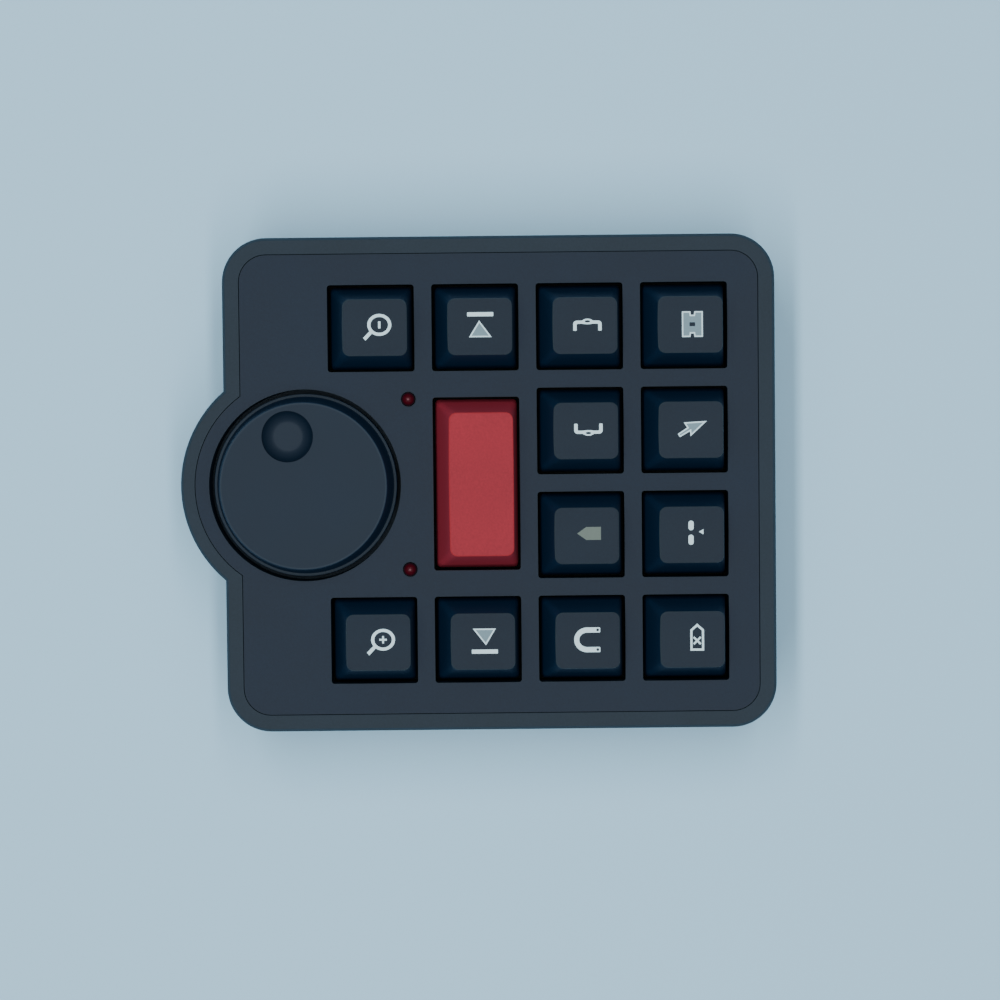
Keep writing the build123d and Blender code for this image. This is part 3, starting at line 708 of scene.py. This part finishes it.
outlines = [case_ring(CASE_RIM + GROOVE, BUMP_RIM + GROOVE)]
outlines += [well_ring(key, WELL_GAP) for key in keys]
dial_radius = (dial_high.x - dial_low.x) / 2
outlines.append(hole(shifted(circle_ring(dial_radius + DIAL_GAP, ROUND_STEPS), 0, dial_y)))
lamp_opening = circle_ring(LAMP_RADIUS + LAMP_CLEAR, LAMP_HOLE_STEPS)
outlines += [hole(shifted(lamp_opening, x, y)) for x, y in lamp_places]
plate_parts = [sheet(outlines, plate_low.z, plate_high.z, PLATE_EDGE)]
plate = make_piece("face_plate", "face_panel", plate_parts, sharp=35.0)
plate.modifiers.new("Flat faces", "WEIGHTED_NORMAL").keep_sharp = True

# Jog dial: rings from the middle of the finger dimple out over the top and round the skirt
DIAL_TOP_RADIUS = 18.35
DIAL_EDGE = 0.3
DIAL_WALL = 1.8
FLANGE_HEIGHT = 3.8
FLANGE_WIDTH = 0.6
FLANGE_EDGE = 0.12
FLANGE_PROUD = 0.15
DIAL_ROOF = 2.8
HUB_RADIUS = 5.2
HUB_Z = 20.6
SHAFT_BORE = 3.05
DIMPLE_RADIUS = 5.55
DIMPLE_FLOOR = 3.0
DIMPLE_DEPTH = 2.2
DIMPLE_EDGE = 0.1
DIMPLE_ROUNDNESS = 1.3
DIMPLE_BEARING = 197.2
DIMPLE_RIM = 1.45
DIMPLE_FLOOR_STEPS = 4
DIMPLE_WALL_STEPS = 15
DIAL_EDGE_STEPS = 6
SMALL_EDGE_STEPS = 4
SKIRT_SHARES = (0.33, 0.67, 1.0)


def dial_ring(radius, z, shift=0.0):
    """A level ring of the dial, moved towards the dimple by a share."""
    reach = DIAL_TOP_RADIUS - DIMPLE_RIM - DIMPLE_RADIUS
    bearing = math.radians(DIMPLE_BEARING)
    x = shift * reach * math.cos(bearing)
    y = dial_y + shift * reach * math.sin(bearing)
    return move(circle_ring(radius, ROUND_STEPS), x, y, z)


def dial_parts():
    """The rings of the dial, from the dimple's middle to the bore of its hub."""
    top = dial_high.z
    rings = []
    for step in range(1, DIMPLE_FLOOR_STEPS + 1):
        rings.append(dial_ring(DIMPLE_FLOOR * step / DIMPLE_FLOOR_STEPS, top - DIMPLE_DEPTH, 1))
    wall = DIMPLE_RADIUS - DIMPLE_FLOOR
    for step in range(1, DIMPLE_WALL_STEPS):
        share = math.sin(TURN / 4 * step / DIMPLE_WALL_STEPS)
        drop = (DIMPLE_DEPTH - DIMPLE_EDGE) * (1 - share**DIMPLE_ROUNDNESS) ** (1 / DIMPLE_ROUNDNESS)
        rings.append(dial_ring(DIMPLE_FLOOR + wall * share, top - DIMPLE_EDGE - drop, 1))
    for step in range(SMALL_EDGE_STEPS + 1):
        angle = TURN / 4 * step / SMALL_EDGE_STEPS
        out = DIMPLE_EDGE * (1 - math.cos(angle))
        rings.append(dial_ring(DIMPLE_RADIUS + out, top - DIMPLE_EDGE * (1 - math.sin(angle)), 1))
    flat = DIMPLE_RADIUS + DIMPLE_EDGE
    edge = DIAL_TOP_RADIUS - DIAL_EDGE
    for step in range(1, DIAL_EDGE_STEPS + 1):
        share = step / DIAL_EDGE_STEPS
        rings.append(dial_ring(flat + (edge - flat) * share, top, 1 - share))
    for step in range(1, DIAL_EDGE_STEPS + 1):
        angle = TURN / 4 * step / DIAL_EDGE_STEPS
        radius = edge + DIAL_EDGE * math.sin(angle)
        rings.append(dial_ring(radius, top - DIAL_EDGE * (1 - math.cos(angle))))
    flange = dial_radius + FLANGE_PROUD
    flange_z = dial_low.z + FLANGE_HEIGHT
    foot = flange - FLANGE_WIDTH
    for share in SKIRT_SHARES:
        z = top - DIAL_EDGE + (flange_z - top + DIAL_EDGE) * share
        rings.append(dial_ring(DIAL_TOP_RADIUS + (foot - DIAL_TOP_RADIUS) * share, z))
    for step in range(SMALL_EDGE_STEPS + 1):
        angle = TURN / 4 * step / SMALL_EDGE_STEPS
        z = flange_z - FLANGE_EDGE * (1 - math.cos(angle))
        rings.append(dial_ring(flange - FLANGE_EDGE * (1 - math.sin(angle)), z))
    inside = DIAL_TOP_RADIUS - DIAL_WALL
    ceiling = top - DIAL_ROOF
    for radius, z in (
        (flange, dial_low.z),
        (inside, dial_low.z),
        (inside, ceiling),
        (HUB_RADIUS, ceiling),
        (HUB_RADIUS, HUB_Z),
        (SHAFT_BORE, HUB_Z),
        (SHAFT_BORE, ceiling),
    ):
        rings.append(dial_ring(radius, z))
    return [skin(rings, True, True)]


make_piece("dial", "jog_dial", dial_parts(), sharp=35.0)

# Indicator lamps: a domed lens with a flange, and two legs down to the board
LEG = 0.5
LEG_CORNER = 0.1
LEG_SPACING = 2.54


def lamp_parts():
    """Both lamps with their legs."""
    parts = []
    leg = rounded_ring(LEG / 2, LEG / 2, LEG_CORNER)
    shoulder = plate_low.z - LAMP_SHOULDER
    foot = shoulder - LAMP_FLANGE_HEIGHT
    for x, y in lamp_places:
        places = [(LAMP_FLANGE, foot), (LAMP_FLANGE, shoulder), (LAMP_RADIUS, shoulder)]
        for step in range(LAMP_DOME_STEPS):
            angle = TURN / 4 * step / LAMP_DOME_STEPS
            z = plate_high.z + (lamp_high.z - plate_high.z) * math.sin(angle)
            places.append((LAMP_RADIUS * math.cos(angle), z))
        rings = [move(circle_ring(radius, SMALL_ROUND_STEPS), x, y, z) for radius, z in places]
        parts.append(skin(rings, True, True))
        for side in (-1, 1):
            leg_x = x + side * LEG_SPACING / 2
            ends = [move(leg, leg_x, y, lamp_low.z), move(leg, leg_x, y, foot)]
            parts.append(skin(ends, True, True))
    return parts


make_piece("lamps", "status_lamps", lamp_parts())

# Feet: four pads of rubber with round corners
FOOT_LENGTH = 18.0
FOOT_WIDTH = 9.0
FOOT_CORNER = 1.6
FOOT_EDGE = 0.4
feet_low, feet_high = box("rubber_feet")
foot_parts = []
for x in (feet_low.x + FOOT_LENGTH / 2, feet_high.x - FOOT_LENGTH / 2):
    for y in (feet_low.y + FOOT_WIDTH / 2, feet_high.y - FOOT_WIDTH / 2):
        pad = shifted(rounded_ring(FOOT_LENGTH / 2, FOOT_WIDTH / 2, FOOT_CORNER), x, y)
        foot_parts.append(sheet([pad], feet_low.z, feet_high.z, FOOT_EDGE))
feet = make_piece("feet", "rubber_feet", foot_parts)
feet.modifiers.new("Flat faces", "WEIGHTED_NORMAL").keep_sharp = True

# Screws: a cheese head with a hexagon socket on a round shank
SCREW_HEAD = 2.3
SCREW_HEAD_HEIGHT = 1.6
SCREW_SHANK = 1.2
SCREW_SOCKET = 1.05
SOCKET_DEPTH = 0.9
SCREW_HEAD_EDGE = 0.3
SCREW_HEAD_BREAK = 0.09
SCREW_TIP = 0.6
SCREW_STEPS = 48
screws_low, screws_high = box("case_screws")


def hexagon_ring(radius, steps):
    """A hexagon as a ring of points, by the radius of its corners."""
    points = []
    for step in range(steps):
        angle = TURN * step / steps
        flat = (angle % (TURN / 6)) - TURN / 12
        reach = radius * math.cos(TURN / 12) / math.cos(flat)
        points.append((reach * math.cos(angle), reach * math.sin(angle)))
    return points


def screw_parts():
    """The four case screws, heads down."""
    head = screws_low.z
    seat = head + SCREW_HEAD_HEIGHT
    parts = []
    for x in (screws_low.x + SCREW_HEAD, screws_high.x - SCREW_HEAD):
        for y in (screws_low.y + SCREW_HEAD, screws_high.y - SCREW_HEAD):
            socket = hexagon_ring(SCREW_SOCKET, SCREW_STEPS)
            rings = [move(socket, x, y, head + SOCKET_DEPTH), move(socket, x, y, head)]
            for radius, z in (
                (SCREW_HEAD - SCREW_HEAD_EDGE, head),
                (SCREW_HEAD - SCREW_HEAD_BREAK, head + SCREW_HEAD_BREAK),
                (SCREW_HEAD, head + SCREW_HEAD_EDGE),
                (SCREW_HEAD, seat),
                (SCREW_SHANK, seat),
                (SCREW_SHANK, screws_high.z - SCREW_TIP),
                (SCREW_SHANK / 2, screws_high.z),
            ):
                rings.append(move(circle_ring(radius, SCREW_STEPS), x, y, z))
            parts.append(skin(rings, True, True))
    return parts


make_piece("screws", "case_screws", screw_parts())

# Springs: coils that shorten as their keys go down
COIL_TURNS = 6.5
COIL_CLOSED_TURNS = 0.75
COIL_RADIUS = 2.1
COIL_WIRE = 0.22
COIL_STEPS = 20
WIRE_STEPS = 8


def coil(name):
    """The coil spring of one switch."""
    node = f"spring_{name}"
    low, high = box(node)
    x, y = middle(low, high)
    radius = COIL_RADIUS - COIL_WIRE
    open_turns = COIL_TURNS - 2 * COIL_CLOSED_TURNS
    rise = high.z - low.z - 2 * COIL_WIRE
    total = int(COIL_TURNS * COIL_STEPS)
    rings = []
    for step in range(total + 1):
        share = step / total
        climb = min(max((share * COIL_TURNS - COIL_CLOSED_TURNS) / open_turns, 0), 1)
        angle = TURN * share * COIL_TURNS
        z = low.z + COIL_WIRE + rise * climb
        ring = []
        for spoke in range(WIRE_STEPS):
            around = TURN * spoke / WIRE_STEPS
            out = radius + COIL_WIRE * math.cos(around)
            over = COIL_WIRE * math.sin(around)
            ring.append((x + out * math.cos(angle), y + out * math.sin(angle), z + over))
        rings.append(ring)
    item = make_piece(f"coil_{name}", node, [skin(rings, True, True)], sharp=60.0)
    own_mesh(item)


for key in keys:
    coil(key)

# Pictograms: inlays that follow the dish. Each is drawn about the middle of its key's top, with
# X to the right of the person who types and Y away from them
INLAY_RAISE = 0.02
INLAY_SINK = 0.06
INLAY_STEP = 0.4
JOIN_DISTANCE = 0.001
CUT_DISTANCE = 0.0001
MARK_DOT = 0.3
OUTLINE_WIDTH = 0.3
LENS_X, LENS_Y = -0.6, 0.97
MAGNET_X, MAGNET_Y = -0.12, -0.2


def disc(x, y, radius_x, radius_y):
    """An ellipse about a point."""
    return [
        (x + radius_x * across, y + radius_y * along)
        for across, along in circle_ring(1, SMALL_ROUND_STEPS)
    ]


def bar(x, y, width, depth, corner=0.12):
    """A rectangle with small round corners about a point."""
    return shifted(rounded_ring(width / 2, depth / 2, corner), x, y)


def arc(x, y, radius_x, radius_y, first, last, steps):
    """Points along an elliptical arc, between two bearings in degrees."""
    points = []
    for step in range(steps + 1):
        angle = math.radians(first + (last - first) * step / steps)
        points.append((x + radius_x * math.cos(angle), y + radius_y * math.sin(angle)))
    return points


def lens():
    """A magnifying glass with its handle, as an outline and a hole."""
    outer = arc(LENS_X, LENS_Y, 2.38, 2.62, -38, 305, 60)
    handle = [(2.2, -2.6), (2.8, -2.06)]
    return [outer + handle, hole(disc(LENS_X, LENS_Y, 1.72, 1.92))]


def bracket(flip):
    """An arch with an eye in its middle; flip turns it over."""
    half = [(-0.5, 0.0), (-0.46, 0.45), (-0.3, 0.85), (-0.08, 1.25), (-0.06, 2.45)]
    half += [(0.06, 2.78), (0.28, 3.0), (0.6, 3.1), (2.0, 3.1), (2.14, 2.98), (2.14, 2.46)]
    half += [(2.0, 2.34), (0.78, 2.34), (0.65, 2.26), (0.61, 2.1), (0.61, 1.2), (0.7, 0.6), (0.72, 0.0)]
    other = [(x, -y) for x, y in reversed(half[1:-1])]
    outline = [(x * flip, y) for x, y in half + other]
    eye = disc(0.09 * flip, 0, 0.24, 0.6)
    if flip > 0:
        outline = hole(outline)
    return [outline, hole(eye)]


horseshoe = [(-2.85, 2.5), (-2.72, 2.65), (-1.82, 2.65), (-1.7, 2.5)]
horseshoe += arc(MAGNET_X, MAGNET_Y, 1.58, 1.75, 180, 360, 24)
horseshoe += [(1.46, 2.5), (1.58, 2.65), (2.48, 2.65), (2.6, 2.5)]
horseshoe += arc(MAGNET_X, MAGNET_Y, 2.72, 2.85, 360, 180, 32)
film = [(-2.87, -1.88), (-2.87, -0.05), (-2.1, 0.08), (-2.1, 0.7), (-2.87, 0.83), (-2.87, 2.67)]
film += [(2.73, 2.67), (2.73, 0.83), (1.96, 0.7), (1.96, 0.08), (2.73, -0.05), (2.73, -1.88)]
pointer = [(-1.9, 3.4), (-1.62, -1.66), (-0.47, -0.9), (0.88, -2.98), (1.6, -2.5), (0.32, -0.3)]
pointer += [(1.45, -0.2)]
tag = [(-3.45, 0.95), (-2.1, -0.55), (2.5, -0.55), (2.5, 2.45), (-2.1, 2.45)]
tag_inside = [(-2.8, 0.95), (-1.9, -0.08), (2.03, -0.08), (2.03, 1.98), (-1.9, 1.98)]
cross = [(0.3, 0.0), (0.92, 0.62), (0.62, 0.92), (0.0, 0.3), (-0.62, 0.92), (-0.92, 0.62)]
cross += [(-0.3, 0.0), (-0.92, -0.62), (-0.62, -0.92), (0.0, -0.3), (0.62, -0.92), (0.92, -0.62)]
plus = [(0.2, 0.2), (0.2, 0.82), (-0.2, 0.82), (-0.2, 0.2), (-0.82, 0.2), (-0.82, -0.2)]
plus += [(-0.2, -0.2), (-0.2, -0.82), (0.2, -0.82), (0.2, -0.2), (0.82, -0.2), (0.82, 0.2)]
left_arrow = [(-1.35, -0.2), (2.3, -2.45), (2.3, 2.5)]
right_arrow = [(0.85, 0.55), (-2.82, 2.75), (-2.82, -2.3)]
flag = [(-0.5, -2.2), (0.92, -0.2), (0.92, 3.0), (-1.92, 3.0), (-1.92, -0.2)]


def shrink(points, inset):
    """An outline whose sides are all moved inwards."""
    count = len(points)
    around = sum(
        points[k][0] * points[(k + 1) % count][1] - points[(k + 1) % count][0] * points[k][1]
        for k in range(count)
    )
    lines = []
    for k, point in enumerate(points):
        along = (Vector(points[(k + 1) % count]) - Vector(point)).normalized()
        inward = Vector((-along.y, along.x)) * math.copysign(inset, around)
        lines.append((Vector(point) + inward, along))
    corners = []
    for k in range(count):
        (first, first_along), (second, second_along) = lines[k - 1], lines[k]
        across = first_along.x * second_along.y - first_along.y * second_along.x
        gap = second - first
        reach = (gap.x * second_along.y - gap.y * second_along.x) / across
        corners.append(tuple(first + first_along * reach))
    return corners


def edging(points):
    """The bright line round a large figure, as an outline and a hole."""
    return [points, hole(shrink(points, OUTLINE_WIDTH))]


pictograms = {
    "zoom_out": [lens(), [bar(LENS_X, LENS_Y, 1.55, 0.52)]],
    "zoom_in": [lens(), [shifted(plus, LENS_X, LENS_Y)]],
    "previous": [[bar(-2.68, 0.04, 0.9, 5.7)], edging(left_arrow)],
    "next": [[bar(2.22, 0.3, 0.9, 5.7)], edging(right_arrow)],
    "mark_in": [[shifted(outline, -1.0, 0.45) for outline in bracket(1)]],
    "mark_out": [[shifted(outline, 0.58, 0.47) for outline in bracket(-1)]],
    "magnet": [
        [horseshoe, hole(disc(-2.28, 2.1, MARK_DOT, MARK_DOT)), hole(disc(2.04, 2.1, MARK_DOT, MARK_DOT))]
    ],
    "clip": [[hole(film), shrink(film, OUTLINE_WIDTH)]],
    "pointer": [[hole(pointer), shrink(pointer, OUTLINE_WIDTH)]],
    "split": [
        [bar(-2.02, -0.22, 2.1, 1.15, 0.55)],
        [bar(1.1, -0.24, 2.2, 1.15, 0.55)],
        [[(-0.62, 1.48), (-0.05, 2.48), (-1.2, 2.48)]],
    ],
    "delete": [[hole(tag), tag_inside], [shifted(cross, 0.3, 0.95)]],
}
fillings = {
    "previous": [[shrink(left_arrow, OUTLINE_WIDTH)]],
    "next": [[shrink(right_arrow, OUTLINE_WIDTH)]],
    "clip": [[hole(shrink(film, OUTLINE_WIDTH)), hole(bar(-0.05, 0.38, 0.85, 1.25))]],
    "pointer": [[hole(shrink(pointer, OUTLINE_WIDTH))]],
}


def inlay(name, groups, piece, material):
    """A figure on a key, bent to the dish of its cap."""
    low, high = box(f"keycap_{name}")
    x, y = middle(low, high)
    y += TOP_SHIFT
    top_x = (high.x - low.x) / 2 - SIDE_SLOPE
    shape = bmesh.new()
    for group in groups:
        vertices, faces = sheet(group, -INLAY_SINK, INLAY_RAISE, 0)
        made = [shape.verts.new(vertex) for vertex in vertices]
        for face in faces:
            shape.faces.new([made[index] for index in face])
    bmesh.ops.remove_doubles(shape, verts=shape.verts[:], dist=JOIN_DISTANCE)
    for step in range(int(2 * top_x / INLAY_STEP)):
        everything = shape.verts[:] + shape.edges[:] + shape.faces[:]
        cut = INLAY_STEP * (step + 0.5) - top_x
        bmesh.ops.bisect_plane(
            shape, geom=everything, plane_co=(cut, 0, 0), plane_no=(1, 0, 0), dist=CUT_DISTANCE
        )
    shape.verts.index_update()
    bent = []
    for vertex in shape.verts:
        bent.append(
            (vertex.co.x + x, vertex.co.y + y, vertex.co.z + high.z - dish(vertex.co.x, top_x))
        )
    flat = [tuple(vertex.index for vertex in face.verts) for face in shape.faces]
    shape.free()
    make_piece(
        f"{piece}_{name}",
        None,
        [(bent, flat)],
        material=material,
        slot="keycap_plastic",
        body=f"key_{name}",
    )


for key, groups in pictograms.items():
    inlay(key, groups, "pictogram", ink)
for key, groups in fillings.items():
    inlay(key, groups, "filling", faded_ink)
inlay("marker", [[flag]], "filling", marker_ink)

# Floor, light and camera
FLOOR_COLOUR = (0.46, 0.72, 0.90)
FLOOR_REACH = 3.0
FLOOR_ROUGHNESS = 0.9
PAPER_GRAIN = 0.8
PAPER_TONE = 0.01
SKY_COLOUR = (0.6, 0.82, 1.0, 1.0)
SKY_STRENGTH = 0.10
LIGHT_COLOUR = (0.90, 0.97, 1.0)
LIGHT_HEIGHT = 1.2
CEILING_SIZE = 2.2
CEILING_WATTS = 7.0
TUBE_LENGTH = 2.0
TUBE_WIDTH = 0.12
TUBES = {"front_tube": (-0.34, 13.0), "rear_tube": (0.22, 9.6)}


def light(name, y, width, depth, watts):
    """A rectangular soft light over the object, aimed at the origin, in metres."""
    data = bpy.data.lights.new(name, "AREA")
    data.shape = "RECTANGLE"
    data.size = width
    data.size_y = depth
    data.energy = watts
    data.color = LIGHT_COLOUR
    item = bpy.data.objects.new(name, data)
    bpy.context.scene.collection.objects.link(item)
    item.location = (0, y, LIGHT_HEIGHT)
    item.rotation_euler = (-item.location).to_track_quat("-Z", "Y").to_euler()
    return item


floor_finish = Finish("floor")
paper = floor_finish.noise(PAPER_GRAIN)
dark, pale = shade(FLOOR_COLOUR, 1 - PAPER_TONE), shade(FLOOR_COLOUR, 1 + PAPER_TONE)
floor_tone = floor_finish.blend(paper, dark, pale)
floor_material = floor_finish.surface({"Base Color": floor_tone, "Roughness": FLOOR_ROUGHNESS})
floor_mesh = bpy.data.meshes.new("floor")
corners = [(x * FLOOR_REACH, y * FLOOR_REACH, 0) for x, y in ((-1, -1), (1, -1), (1, 1), (-1, 1))]
floor_mesh.from_pydata(corners, [], [(0, 1, 2, 3)])
floor_mesh.materials.append(floor_material)
floor = bpy.data.objects.new("floor", floor_mesh)
bpy.context.scene.collection.objects.link(floor)

world = bpy.data.worlds.new("studio")
bpy.context.scene.world = world
world.use_nodes = True
sky = world.node_tree.nodes["Background"]
sky.inputs["Color"].default_value = SKY_COLOUR
sky.inputs["Strength"].default_value = SKY_STRENGTH
light("ceiling", 0, CEILING_SIZE, CEILING_SIZE, CEILING_WATTS)
for name, (y, watts) in TUBES.items():
    tube = light(name, y, TUBE_LENGTH, TUBE_WIDTH, watts)
    tube.visible_glossy = False

CAMERA_PLACE = (-18.04, 4.2475, 577.34)
CAMERA_TURN = (0.0013, -0.0391, -0.0103)
FOCAL_PIXELS = 2518.9
FRAME_PIXELS = 1000
SENSOR_WIDTH = 36.0
camera_data = bpy.data.cameras.new("camera")
camera_data.sensor_width = SENSOR_WIDTH
camera_data.lens = FOCAL_PIXELS * SENSOR_WIDTH / FRAME_PIXELS
camera = bpy.data.objects.new("camera", camera_data)
bpy.context.scene.collection.objects.link(camera)
upright = Matrix(((0, -1, 0), (1, 0, 0), (0, 0, 1)))
turn_x, turn_y, turn_z = CAMERA_TURN
turned = Matrix.Rotation(turn_z, 3, "Z") @ Matrix.Rotation(turn_y, 3, "Y") @ Matrix.Rotation(turn_x, 3, "X")
camera.matrix_world = Matrix.Translation(Vector(CAMERA_PLACE) * MM) @ (turned @ upright).to_4x4()
bpy.context.scene.camera = camera
